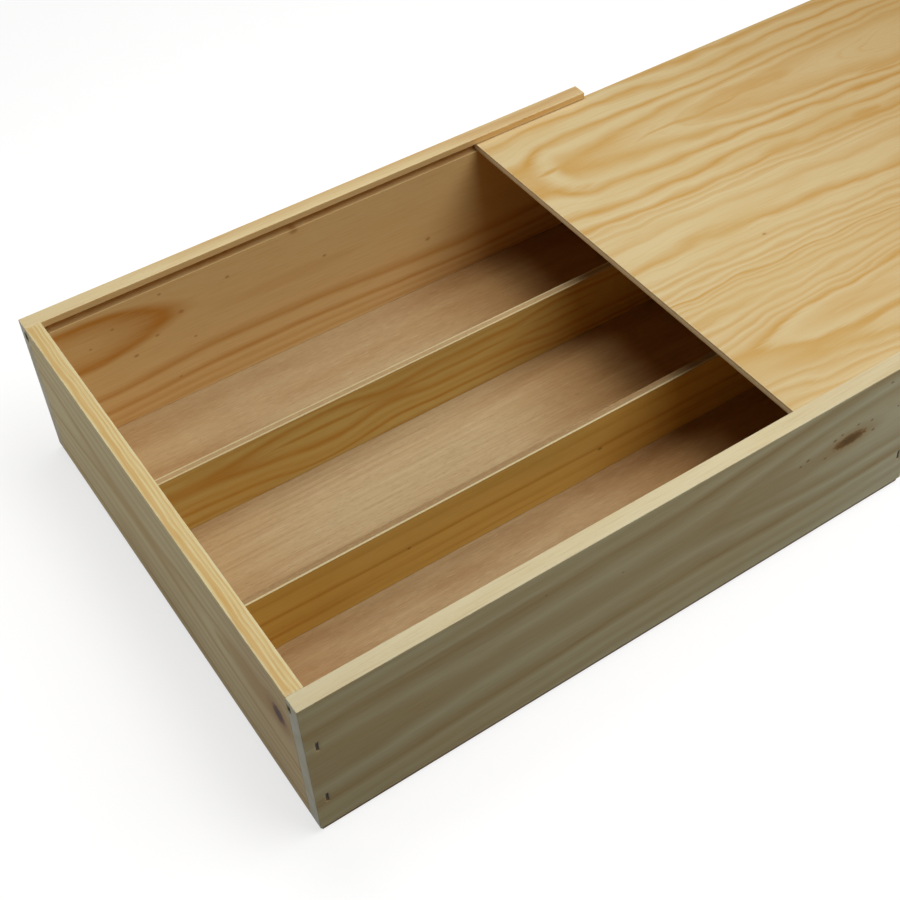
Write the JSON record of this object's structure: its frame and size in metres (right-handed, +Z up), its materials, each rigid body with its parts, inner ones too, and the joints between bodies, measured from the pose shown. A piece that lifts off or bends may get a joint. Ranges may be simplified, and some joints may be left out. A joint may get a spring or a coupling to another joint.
{
  "type": "wooden bottle box",
  "caption": "Low pine box for bottles laid side by side, with thin dividers and a flat lid that slides out lengthwise in grooves.",
  "frame": {"origin": "middle of the floor panel's underside, on the surface that the box stands on", "axes": "+X towards the open end, the way the lid is drawn; +Y from the front side board to the back one; +Z up"},
  "size_m": [0.6168, 0.286, 0.093],
  "materials": {
    "side_board_pine": "planed pine, bare, satin, orange growth lines",
    "end_board_pine": "planed pine, bare, satin, close growth lines",
    "lid_plywood": "thin plywood with a flame-figured pine face, sanded, bare",
    "divider_plywood": "thin plywood with pine faces, sanded, bare",
    "floor_plywood": "thin plywood with an open-pored pinkish brown face, bare",
    "staple_steel": "flattened wire, dull"
  },
  "bodies": {
    "box": {"side_board_front": "side_board_pine", "side_board_back": "side_board_pine", "end_board_closed": "end_board_pine", "end_board_open": "end_board_pine", "floor_panel": "floor_plywood", "divider_front": "divider_plywood", "divider_back": "divider_plywood", "corner_staple_front_closed_lower": "staple_steel", "corner_staple_front_closed_upper": "staple_steel", "corner_staple_front_open_lower": "staple_steel", "corner_staple_front_open_upper": "staple_steel", "corner_staple_back_closed_lower": "staple_steel", "corner_staple_back_closed_upper": "staple_steel", "corner_staple_back_open_lower": "staple_steel", "corner_staple_back_open_upper": "staple_steel", "floor_staple_front_1": "staple_steel", "floor_staple_front_2": "staple_steel", "floor_staple_front_3": "staple_steel", "floor_staple_front_4": "staple_steel", "floor_staple_back_1": "staple_steel", "floor_staple_back_2": "staple_steel", "floor_staple_back_3": "staple_steel", "floor_staple_back_4": "staple_steel", "floor_staple_closed_1": "staple_steel", "floor_staple_closed_2": "staple_steel", "floor_staple_open_1": "staple_steel", "floor_staple_open_2": "staple_steel", "divider_staple_front_1": "staple_steel", "divider_staple_front_2": "staple_steel", "divider_staple_front_3": "staple_steel", "divider_staple_back_1": "staple_steel", "divider_staple_back_2": "staple_steel", "divider_staple_back_3": "staple_steel"},
    "lid": {"sliding_lid": "lid_plywood"}
  },
  "joints": [
    {"name": "lid_slide", "type": "slide", "parent": "box", "child": "lid", "axis": [1, 0, 0], "range_m": [-0.2668, 0.0772]}
  ]
}
